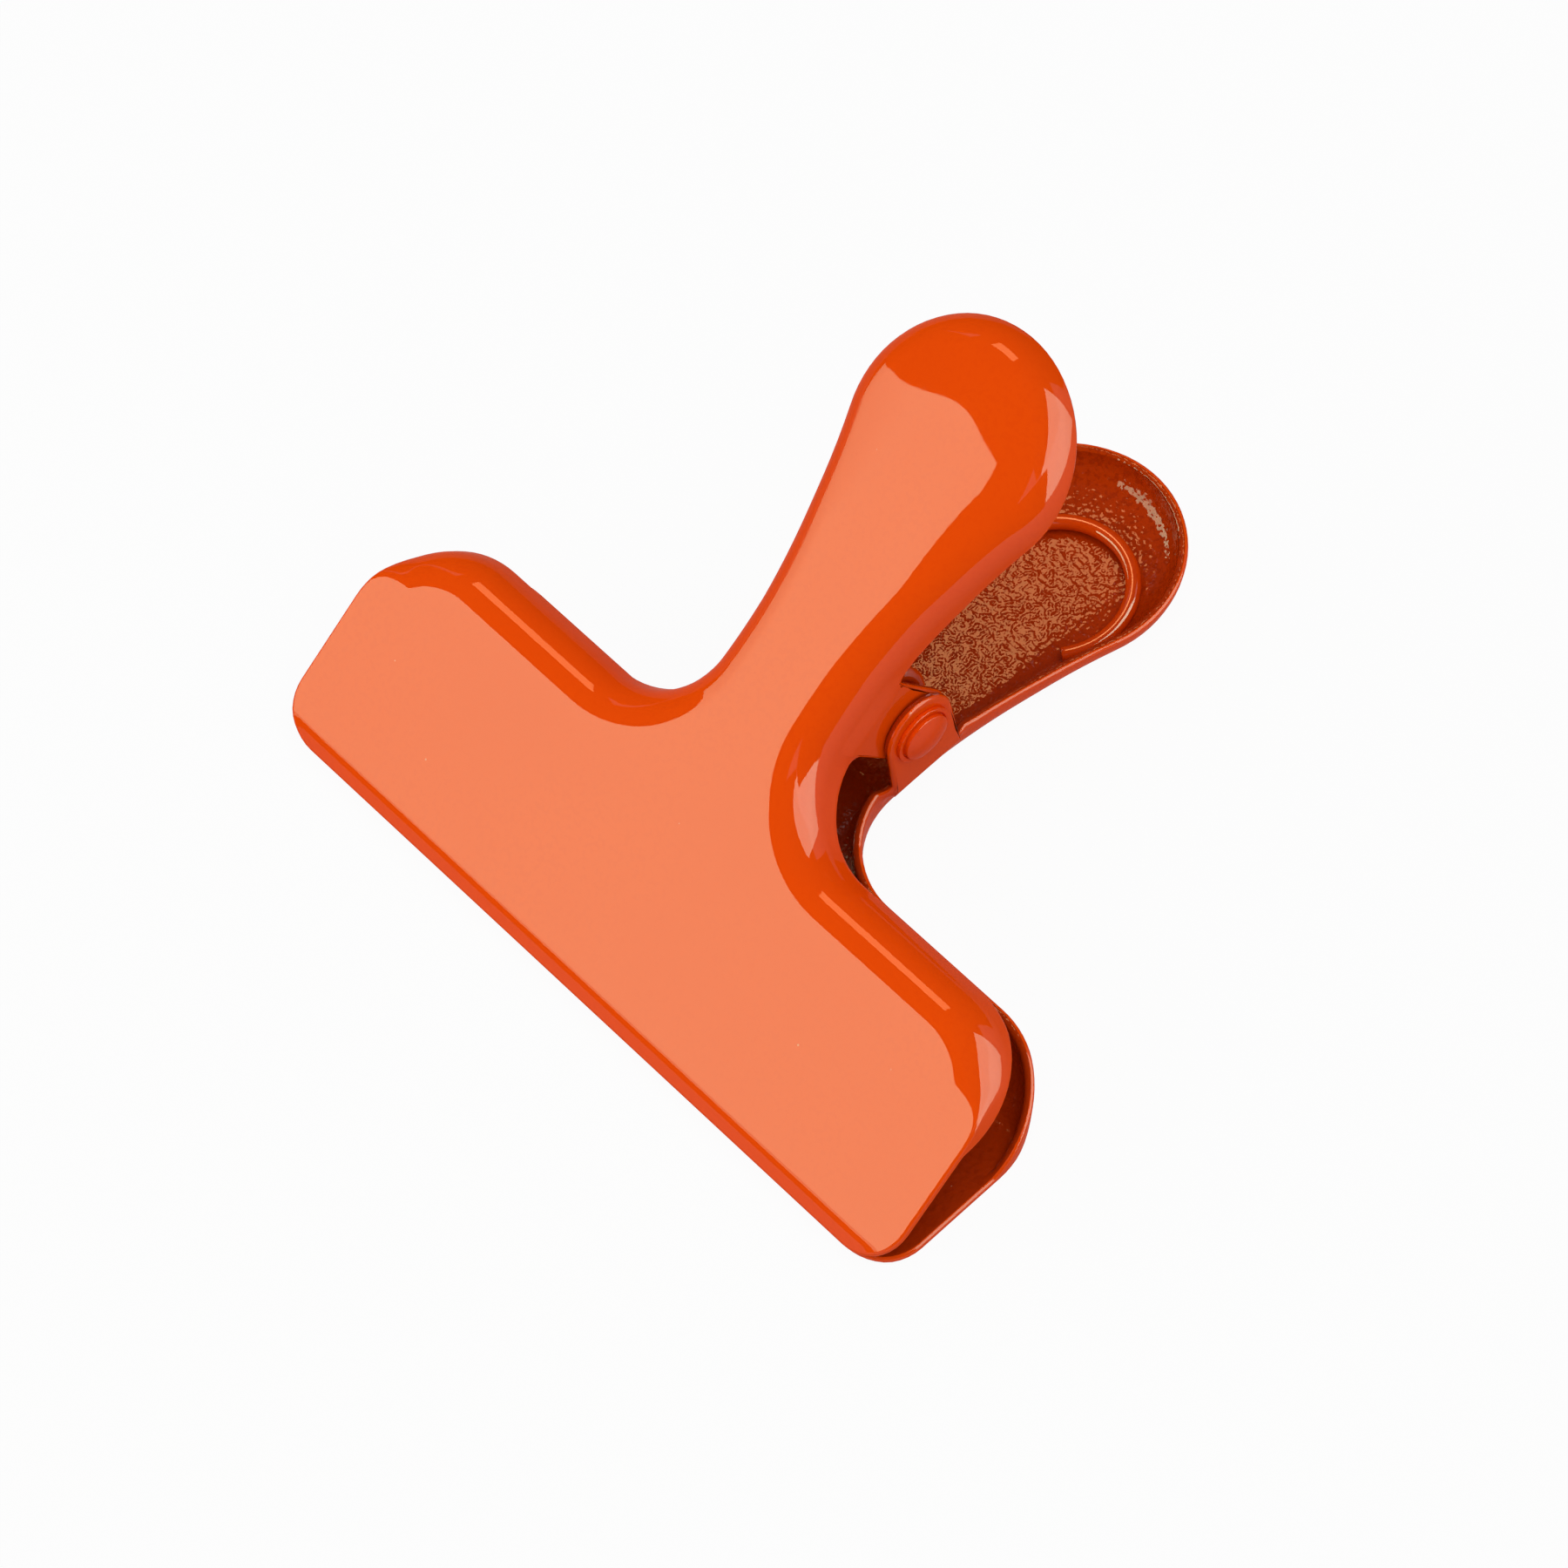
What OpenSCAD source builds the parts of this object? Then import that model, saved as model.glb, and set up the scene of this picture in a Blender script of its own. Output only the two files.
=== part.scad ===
// Sprung metal clip: two stamped plates that turn on one rivet and are held shut by a torsion spring.
// Millimetres. The clip lies on its rear plate, with the origin on that plate's flat back, straight
// below the pivot. X runs along the jaw, +Y points from the jaw to the handles, +Z is up.
// Both plates are drawn by the same modules, with the plate's outer face on Z = 0, its lip along
// Y = 0 and its flanges standing up towards the other plate.

/* [Sheet] */
// Thickness of the steel sheet of both plates
sheet_t = 0.8; // [0.6:0.05:1.1]
// Outer radius of the bend between a plate's face and its flange
bend_r = 3; // [2:0.1:3.4]
// Lean of the flanges, outwards from square
flange_lean = 8; // [2:1:12]

/* [Jaw] */
// Width of the jaw along its lip
jaw_w = 75; // [55:1:120]
// Height of the jaw, from its lip to the top edge of its arms
jaw_h = 22; // [19:0.5:24]
// Radius of the two corners at the lip
lip_corner_r = 4.4; // [1:0.2:8]
// Radius of the two top corners of the arms
arm_corner_r = 9; // [5:0.5:9.5]
// Depth of the flange along the top of the arms
arm_flange = 4.5; // [3.6:0.1:5.5]
// Distance from the lip at which the side flanges begin
side_flange_from = 12.4; // [8:0.2:15]
// Slope of the free edge of the side flanges
side_flange_slope = 26; // [20:1:45]
// Length of the strip along the lip that curls inwards
lip_len = 5; // [3:0.5:8]
// How far the edge of the lip is pressed inwards
lip_drop = 0.15; // [0.1:0.05:0.8]
// Gap between the two lips when the clip is shut
lip_gap = 0.1; // [0.05:0.05:1]

/* [Handle] */
// Length of a plate, from its lip to the tip of its handle
plate_len = 66.2; // [60:0.5:80]
// Radius of the round end of the handle
bulb_r = 10; // [9:0.25:12]
// Least width of the neck between jaw and handle
neck_w = 12.7; // [12:0.1:15]
// Radius of the inner corner between arm and neck
neck_corner_r = 8.4; // [6:0.2:10]
// Radius of the long hollow curve from the neck to the round end
waist_r = 64.5; // [50:0.5:90]
// Depth of the flange round the neck
neck_flange = 5; // [4.2:0.1:5.5]
// Depth of the flange round the handle
handle_flange = 3.9; // [3.4:0.1:4.8]

/* [Pivot] */
// Distance from the lip to the pivot, along the plate
pivot_up = 33.5; // [32.5:0.25:36]
// Distance of the pivot from the outer face of each plate
pivot_in = 11.3; // [10.5:0.1:13]
// Radius of the round end of each ear
ear_r = 3.8; // [3.2:0.1:4.2]
// Gap between an outer ear and the inner ear beside it
ear_gap = 0.15; // [0.05:0.05:0.3]
// Diameter of the rivet's shank
rivet_d = 3; // [2.4:0.1:3.6]
// Clearance round the shank in the inner ears, which turn on it
turning_clearance = 0.05; // [0.02:0.01:0.1]
// Clearance round the shank in the outer ears, which hold it
holding_clearance = 0.01; // [0.01:0.01:0.05]
// Diameter of the rivet's heads
head_d = 5.6; // [4.4:0.1:6.4]
// Height of the rivet's heads
head_h = 1.2; // [0.7:0.05:1.4]

/* [Spring] */
// Diameter of the spring wire
wire_d = 1.35; // [1:0.05:1.5]
// Radius of the coil, to the middle of the wire
coil_r = 3; // [2.7:0.1:3.4]
// Least gap that is left between the turns of the coil
turn_gap = 0.45; // [0.42:0.01:0.8]
// Gap between the coil and the inner ears
coil_side_gap = 0.3; // [0.05:0.01:0.4]
// Distance from the side of the handle to the middle of the wire, round the hook
hook_inset = 2.6; // [2.5:0.05:3.2]
// Distance from the tip of the handle to the middle of the wire, at the end of the hook
hook_end_inset = 5.8; // [3:0.1:9]
// Angle that the hook turns through
hook_turn = 215; // [180:5:225]
// Length of each leg that lies flat on the handle before its hook
leg_flat = 2.4; // [1.5:0.1:5]
// Radius of the bend where a leg comes down to the handle, to the middle of the wire
leg_bend_r = 3; // [1.5:0.1:4]
// Height at which the wire lies clear of the sheet
wire_lift = 0.1; // [0.1:0.01:0.3]

/* [Hidden] */
$fn = 96;

lacquer = "orangered";

// Depth and radius of the rounded edge along the lip and the lower sides, where there is no flange
edge_depth = sheet_t + 0.1;
edge_r = edge_depth;

// Edge of the lip: the flange's lean carries it a little past the outline
lip_edge_y = -edge_depth * tan(flange_lean);
lip_edge_in = edge_depth + lip_drop * (1 - lip_edge_y / lip_len) ^ 2;
// Half of the angle between the plates, at which the two lips all but meet
half_angle = atan((pivot_in - lip_edge_in - lip_gap / 2) / (pivot_up - lip_edge_y));

// Outline of a plate: centres of its arcs
corner_at = [jaw_w / 2 - arm_corner_r, jaw_h - arm_corner_r];
fillet_at = [neck_w / 2 + neck_corner_r, jaw_h + neck_corner_r];
bulb_at = [0, plate_len - bulb_r];
to_bulb = bulb_at - fillet_at;
from_fillet = waist_r - neck_corner_r;
from_bulb = waist_r + bulb_r;
along = (from_fillet ^ 2 - from_bulb ^ 2 + norm(to_bulb) ^ 2) / (2 * norm(to_bulb));
aside = sqrt(from_fillet ^ 2 - along ^ 2);
unit = to_bulb / norm(to_bulb);
waist_at = fillet_at + along * unit + aside * [unit.y, -unit.x];
fillet_dir = (fillet_at - waist_at) / norm(fillet_at - waist_at);
bulb_dir = (bulb_at - waist_at) / norm(bulb_at - waist_at);
fillet_angle = atan2(fillet_dir.y, fillet_dir.x) + 360;
bulb_angle = atan2(bulb_dir.y, bulb_dir.x);
fillet_end_y = waist_at.y + waist_r * fillet_dir.y;
waist_end_y = waist_at.y + waist_r * bulb_dir.y;

// Ears: the inner ear is in line with the flange's free edge at the neck, and the outer ear is
// stepped outwards to lie beside it. Both are given by their outer faces.
inner_ear_x = neck_w / 2 + neck_flange * tan(flange_lean);
outer_ear_x = inner_ear_x + sheet_t + ear_gap;
ear_root = neck_flange - 1.4;
ear_step_end = neck_flange + 0.6;

// Spring: its coil fills the space between the inner ears
wire_r = wire_d / 2;
coil_end_x = inner_ear_x - sheet_t - coil_side_gap - wire_r;
ease = 30;
leg_drop = pivot_in - sheet_t - wire_r - wire_lift;
hook_side_x = bulb_r - hook_inset;
hook_r = (hook_side_x + coil_end_x) / 2;
hook_x = hook_side_x - hook_r;
hook_up = plate_len - hook_end_inset - hook_r - pivot_up;
leg_reach = hook_up - leg_flat;
leg_point = norm([leg_reach, leg_drop]);
leg_slope = atan2(leg_drop, leg_reach) - asin(coil_r / leg_point);
bend_cut = leg_bend_r * tan(leg_slope / 2);
leg_dir = half_angle + leg_slope;
part_turn = 180 - 2 * leg_dir;
least_pitch = (wire_d + turn_gap) / cos(6);
whole_turns = floor((2 * coil_end_x / least_pitch * 360 + ease - part_turn) / 360);
coil_angle = part_turn + 360 * whole_turns;
rings = 8;
sides = 6;

// Depth of the flange's free edge, and outer radius of its bend, at a distance from the lip
flange_full_y = min(jaw_h - 1, side_flange_from + (arm_flange - edge_depth) / tan(side_flange_slope));
flange_depths = [[0, edge_depth], [side_flange_from, edge_depth], [flange_full_y, arm_flange],
                 [jaw_h, arm_flange], [pivot_up - ear_r, neck_flange], [pivot_up + ear_r, neck_flange],
                 [pivot_up + ear_r + 8, handle_flange], [plate_len, handle_flange]];
bend_radii = [[0, edge_r], [jaw_h - 7, edge_r], [jaw_h - 1, bend_r], [plate_len, bend_r]];

// One point of the outline: [x, y, direction outwards, depth of the free edge, 1 if on an ear]
function arc_points(at, radius, from, to, steps, sign) = [for (i = [0:steps])
    let (a = from + (to - from) * i / steps, y = at.y + radius * sin(a))
    [at.x + radius * cos(a), y, sign * [cos(a), sin(a)], lookup(y, flange_depths), 0]];
// Point on the side of the neck, at a distance from the lip
function neck_point(y, depth, on_ear) =
    let (at = y < fillet_end_y ? fillet_at : waist_at, radius = y < fillet_end_y ? neck_corner_r : waist_r,
         dy = y - at.y, dx = sqrt(radius ^ 2 - dy ^ 2))
    [at.x - dx, y, [dx, -dy] / radius, depth, on_ear];

ear_foot = [[0.9, 0, 0], [0.35, ear_step_end + 0.3 - neck_flange, 1]];
ear_steps = 12;
ear_bottom_y = pivot_up - ear_r - ear_foot[0].x;
ear_top_y = pivot_up + ear_r + ear_foot[0].x;
ear_bottom_angle = 180 + asin((fillet_at.y - ear_bottom_y) / neck_corner_r);
waist_steps = 5;
lip_corner_steps = 5;
arm_corner_steps = 9;
side_ys = [lip_len + 0.5, side_flange_from];

outline = concat(
    // round corner at the lip, side of the jaw, round corner of the arm
    arc_points([jaw_w / 2 - lip_corner_r, lip_corner_r], lip_corner_r, -90, 0, lip_corner_steps, 1),
    [for (y = side_ys) [jaw_w / 2, y, [1, 0], edge_depth, 0]],
    arc_points(corner_at, arm_corner_r, 0, 90, arm_corner_steps, 1),
    // inner corner between arm and neck
    arc_points(fillet_at, neck_corner_r, 270, ear_bottom_angle, 7, -1),
    // ear
    [neck_point(pivot_up - ear_r - ear_foot[1].x, neck_flange + ear_foot[1].y, 1)],
    [for (i = [0:ear_steps]) let (a = 180 * i / ear_steps)
        neck_point(pivot_up - ear_r * cos(a), pivot_in + ear_r * sin(a), 1)],
    [neck_point(pivot_up + ear_r + ear_foot[1].x, neck_flange + ear_foot[1].y, 1)],
    // waist and round end, which stops half a step short of the tip
    [for (i = [0:waist_steps - 1]) let (y = ear_top_y + (waist_end_y - ear_top_y) * i / waist_steps)
        neck_point(y, lookup(y, flange_depths), 0)],
    arc_points(bulb_at, bulb_r, bulb_angle - 180, 86, 11, 1));
// Last point of the arm's corner: the next point is at the same distance from the lip
arm_top = lip_corner_steps + 1 + len(side_ys) + arm_corner_steps;
half = len(outline);

// Section of the sheet at a point of the outline, from the edge of its outer flat round its free
// edge to its inner flat: each point is [distance outwards from the outline, depth]
bend_steps = 3;
section_points = 2 * (bend_steps + 4);
function bend_arc(r, radius) = [for (k = [0:bend_steps]) let (a = (90 - flange_lean) * k / bend_steps)
    [radius * sin(a) - r * tan((90 - flange_lean) / 2), r - radius * cos(a)]];
function along_flange(depth, inset) = [depth * tan(flange_lean) - inset / cos(flange_lean), depth];
function flange_steps(from, depth, on_ear) = on_ear ? [ear_root, ear_step_end, depth]
    : [from + (depth - from) / 3, from + (depth - from) * 2 / 3, depth];
function skin(r, depth, on_ear, inset) = concat(bend_arc(r, r - inset),
    [for (d = flange_steps(r * (1 - sin(flange_lean)) + inset / 2, depth, on_ear)) along_flange(d, inset)]);
function reversed(list) = [for (i = [len(list) - 1:-1:0]) list[i]];
function section(p) = let (r = lookup(p.y, bend_radii))
    concat(skin(r, p[3], p[4] == 1, 0), reversed(skin(r, p[3], p[4] == 1, sheet_t)));

function curl(y) = y < lip_len ? lip_drop * (1 - y / lip_len) ^ 2 : 0;
// Section at outline point i placed on the plate, with the ears' own planes at face_x
function placed(i, side, face_x) = let (p = outline[i], n = p[2], sec = section(p))
    [for (j = [0:section_points - 1]) let (
        y = p.y + n.y * sec[j].x,
        inner = j >= section_points / 2,
        on_face = p[4] == 1 && abs(j - section_points / 2 + 0.5) < 2,
        x = on_face ? face_x - (inner ? sheet_t : 0) : p.x + n.x * sec[j].x)
        [side * x, y, sec[j].y + curl(y)]];

// The whole sheet of a plate as one closed skin: sections round the outline, and two caps that
// reach across it from side to side
module bent_sheet(face_x) {
    m = section_points;
    count = 2 * half;
    points = [for (i = [0:count - 1]) each
        i < half ? placed(i, 1, face_x) : placed(count - 1 - i, -1, face_x)];
    edge = [for (i = [0:count - 1]) for (j = [0:m - 2])
        let (a = i * m + j, b = (i + 1) % count * m + j) each [[a, b + 1, b], [a, a + 1, b + 1]]];
    rows = [for (i = [0:half - 2]) if (i != arm_top)
        i == arm_top - 1 ? [i, i + 1, i + 2, count - 3 - i, count - 2 - i, count - 1 - i]
                         : [i, i + 1, count - 2 - i, count - 1 - i]];
    outer_cap = [for (row = rows) row * m];
    inner_cap = [for (row = rows) reversed(row) * m + [for (k = row) m - 1]];
    polyhedron(points, concat(edge, outer_cap, inner_cap));
}

// A whole plate: its ears' outer faces lie at face_x and take the rivet with the given clearance
module plate(face_x, clearance) {
    difference() {
        bent_sheet(face_x);
        translate([0, pivot_up, pivot_in]) rotate([0, 90, 0])
            cylinder(4 * neck_w, r = rivet_d / 2 + clearance, center = true);
    }
}

// Moves a piece of the rear half to its place
module rear_half() {
    translate([0, -pivot_up, 0]) children();
}

// Turns a piece of the rear half over, about the pivot, to the front half
module front_half() {
    translate([0, 0, pivot_in]) rotate([2 * half_angle, 0, 0]) mirror([0, 0, 1])
        translate([0, -pivot_up, -pivot_in]) children();
}

module rear_plate() {
    color(lacquer) rear_half() plate(outer_ear_x, holding_clearance);
}

module front_plate() {
    color(lacquer) front_half() plate(inner_ear_x, turning_clearance);
}

// Outline of one half of a rivet head: a short rim and a low dome
module head_section() {
    rim = 0.35 * head_h;
    dome = head_h - rim;
    dome_r = (head_d ^ 2 / 4 + dome ^ 2) / (2 * dome);
    square([head_d / 2, rim]);
    intersection() {
        translate([0, head_h - dome_r]) circle(dome_r, $fn = 360);
        square([head_d / 2, head_h]);
    }
}

module pivot_rivet() {
    color(lacquer) translate([0, 0, pivot_in]) {
        rotate([0, 90, 0]) cylinder(2 * outer_ear_x, r = rivet_d / 2, center = true);
        for (side = [0, 1]) mirror([side, 0, 0])
            translate([outer_ear_x, 0, 0]) rotate([0, 90, 0]) rotate_extrude() head_section();
    }
}

// Point in the spring's own frame, in which Y runs midway between the handles
function around(angle, radius) = [radius * cos(angle), radius * sin(angle)];
// Share of the coil's length at a share of its turning, eased at both ends
function run_in(a) = a < ease ? a ^ 2 / (2 * ease) : a - ease / 2;
function coil_run(a) = a < coil_angle / 2 ? run_in(a) : coil_angle - ease - run_in(coil_angle - a);
function coil_x(a) = coil_end_x * (2 * coil_run(a) / (coil_angle - ease) - 1);
function coil_point(a) = let (p = around(270 - leg_dir - a, coil_r)) [coil_x(a), p.x, p.y];

rear_way = [0, cos(leg_dir), -sin(leg_dir)];
front_way = [0, cos(leg_dir), sin(leg_dir)];
coil_steps = ceil(coil_angle / 360 * rings);
coil_path = concat([coil_point(0) + wire_d * rear_way],
                   [for (i = [0:coil_steps]) coil_point(coil_angle * i / coil_steps)],
                   [coil_point(coil_angle) + wire_d * front_way]);

// Path of a leg on the rear handle, drawn from the pivot, with Y along the handle
leg_start = [-coil_end_x, leg_slope_point(wire_d).x, leg_slope_point(wire_d).y];
function leg_slope_point(s) = [s * cos(leg_slope) - coil_r * sin(leg_slope),
                               -s * sin(leg_slope) - coil_r * cos(leg_slope)];
leg_path = concat(
    [leg_start],
    // bend down on to the handle
    [for (i = [0:4]) let (a = leg_slope * (1 - i / 4))
        [-coil_end_x, leg_reach + bend_cut - leg_bend_r * sin(a), -leg_drop + leg_bend_r * (1 - cos(a))]],
    // hook
    [for (i = [0:14]) let (a = 180 - hook_turn * i / 14)
        [hook_x + hook_r * cos(a), hook_up + hook_r * sin(a), -leg_drop]]);
leg_start_way = [0, -cos(leg_slope), sin(leg_slope)];
leg_end_way = [sin(180 - hook_turn), -cos(180 - hook_turn), 0];

// Round wire along a path; start_way and end_way are the headings of its two ends
function unit_of(v) = v / norm(v);
function heading(path, i, start_way, end_way) = i == 0 ? start_way
    : i == len(path) - 1 ? end_way
    : unit_of(unit_of(path[i + 1] - path[i]) + unit_of(path[i] - path[i - 1]));
function ring(at, t, across) = let (b = across - (across * t) * t, u = unit_of(b), w = cross(t, u))
    [for (k = [0:sides - 1]) at + wire_r * (cos(360 * k / sides) * u + sin(360 * k / sides) * w)];
module wire(path, start_way, end_way, across) {
    last = len(path) - 1;
    points = [for (i = [0:last]) each ring(path[i], heading(path, i, start_way, end_way), across)];
    skin = [for (i = [0:last - 1]) for (k = [0:sides - 1])
        let (a = i * sides + k, b = i * sides + (k + 1) % sides) each
        [[a, a + sides, b], [b, a + sides, b + sides]]];
    start_cap = [for (k = [0:sides - 1]) k];
    end_cap = [for (k = [sides - 1:-1:0]) last * sides + k];
    polyhedron(points, concat(skin, [start_cap, end_cap]));
}

// Least gap of the coil to itself, between points at least half a turn apart
coil_self_gap = min([for (i = [0:coil_steps]) for (j = [i + rings / 2:1:coil_steps])
                     norm(coil_path[i + 1] - coil_path[j + 1])]) - wire_d;
echo(least_gap_of_the_coil_to_itself = coil_self_gap, whole_turns = whole_turns);

// Places a piece drawn in the spring's own frame
module spring_frame() {
    translate([0, 0, pivot_in]) rotate([half_angle, 0, 0]) children();
}

module spring_coil() {
    color(lacquer) spring_frame() wire(coil_path, -rear_way, front_way, [1, 0, 0]);
}

// A leg with its hook, on the rear handle
module spring_leg() {
    wire(leg_path, -leg_start_way, leg_end_way, [0, 0, 1]);
}

module spring_rear_leg() {
    color(lacquer) translate([0, 0, pivot_in]) spring_leg();
}

module spring_front_leg() {
    color(lacquer) translate([0, 0, pivot_in]) rotate([2 * half_angle, 0, 0])
        mirror([0, 0, 1]) mirror([1, 0, 0]) spring_leg();
}

rear_plate();
front_plate();
pivot_rivet();
spring_coil();
spring_rear_leg();
spring_front_leg();
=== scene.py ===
import math

import bmesh
import bpy
import numpy as np
from mathutils import Matrix, Vector


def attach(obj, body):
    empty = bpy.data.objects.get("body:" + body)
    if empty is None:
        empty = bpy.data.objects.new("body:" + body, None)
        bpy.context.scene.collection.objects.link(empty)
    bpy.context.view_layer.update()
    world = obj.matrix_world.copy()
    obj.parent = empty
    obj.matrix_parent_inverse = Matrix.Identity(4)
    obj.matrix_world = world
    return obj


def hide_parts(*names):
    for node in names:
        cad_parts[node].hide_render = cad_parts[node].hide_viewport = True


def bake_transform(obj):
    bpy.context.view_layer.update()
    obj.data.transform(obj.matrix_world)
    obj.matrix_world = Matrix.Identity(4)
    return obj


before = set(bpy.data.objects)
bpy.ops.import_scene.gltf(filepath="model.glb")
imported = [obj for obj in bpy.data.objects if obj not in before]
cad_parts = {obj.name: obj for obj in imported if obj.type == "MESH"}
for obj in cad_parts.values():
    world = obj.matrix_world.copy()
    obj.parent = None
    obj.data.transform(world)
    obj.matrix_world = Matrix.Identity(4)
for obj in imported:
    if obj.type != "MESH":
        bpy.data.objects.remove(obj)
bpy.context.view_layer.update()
print("frame loaded:", sorted(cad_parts))

mm = 0.001

# The clip lies on its rear plate: X along the jaw, +Y from the jaw to the handles, +Z up
clip = {  # millimetres and degrees, the same as in the part's source
    "sheet": 0.8,
    "pivotUp": 33.5,     # lip to pivot, along a plate
    "pivotIn": 11.3,     # outer face of a plate to the pivot
    "halfAngle": 16.862,
    "outerEar": 8.0027,  # outer faces of the ears
    "innerEar": 7.0527,
}


def cosd(angle):
    return math.cos(math.radians(angle))


def sind(angle):
    return math.sin(math.radians(angle))


def tand(angle):
    return math.tan(math.radians(angle))


def smoothStep(value, low, high):
    share = min(1.0, max(0.0, (value - low) / (high - low)))
    return share * share * (3 - 2 * share)


def aboutPivot(x, y, z, turn):  # a point given from the pivot, turned about its axis
    return (x, y * cosd(turn) - z * sind(turn), y * sind(turn) + z * cosd(turn) + clip["pivotIn"])


def onRear(point):  # a plate's own x, distance from the lip and depth -> the shared frame
    return (point[0], point[1] - clip["pivotUp"], point[2])


def onFront(point):  # the same plate turned over about the pivot
    return aboutPivot(point[0], point[1] - clip["pivotUp"], clip["pivotIn"] - point[2],
                      2 * clip["halfAngle"])


def makePiece(name, points, faces, node, materials, body=None, shadedInside=()):
    mesh = bpy.data.meshes.new(name)
    mesh.from_pydata([(x * mm, y * mm, z * mm) for x, y, z in points], [], faces)
    for material in materials:
        mesh.materials.append(material)
    # these faces take the second material, whose darker colour is painted shade
    for index in shadedInside:
        mesh.polygons[index].material_index = 1
    shaper = bmesh.new()
    shaper.from_mesh(mesh)
    bmesh.ops.recalc_face_normals(shaper, faces=shaper.faces)
    shaper.to_mesh(mesh)
    shaper.free()
    mesh.shade_smooth()
    # Normals are weighted by area, so that slivers don't bend the reflections
    leastLean = 1e-15
    leans = np.zeros((len(mesh.vertices), 3))
    for face in mesh.polygons:
        leans[list(face.vertices)] += np.array(face.normal) * face.area
    leans /= np.maximum(np.linalg.norm(leans, axis=1), leastLean)[:, None]
    mesh.normals_split_custom_set_from_vertices(leans.tolist())
    piece = bpy.data.objects.new(name, mesh)
    bpy.context.scene.collection.objects.link(piece)
    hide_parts(node)
    if body:
        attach(piece, body)
    return piece


# Marks in the lacquer: scales are in cells a metre, ranges run from none of a mark to all of it
sprayed = {
    "driftScale": 70.0, "driftDetail": 3.0, "driftRange": (0.35, 0.7),  # slow, to the deep colour
    "fleckScale": 2000.0, "fleckDetail": 2.0, "fleckRange": (0.48, 0.60),  # the same, but fine
    "dustScale": 420.0, "dustRange": (0.05, 0.03), "dustColour": (0.85, 0.45, 0.25, 1),
    "dustHeight": 0.15, "dustPatchScale": 160.0, "dustPatchRange": (0.56, 0.60),
    "hairTurn": (0.3, 0.2, 0.9), "hairScale": (60.0, 2600.0, 2600.0), "hairRange": (0.72, 0.76),
    "hairPatchScale": 45.0, "hairPatchRange": (0.5, 0.62), "hairRoughness": 0.15, "hairDepth": 0.02,
    "peelDetail": 0.5, "swellScale": 130.0, "swellShare": 1.5,  # the swell is a wider, slower peel
    "heightUnit": 0.0001,  # metres that stand for a height of 1
}
colourInputs = ("Colour", "Deep Colour")
numberInputs = ("Drift", "Peel Scale", "Peel Height", "Dust", "Roughness")


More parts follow.
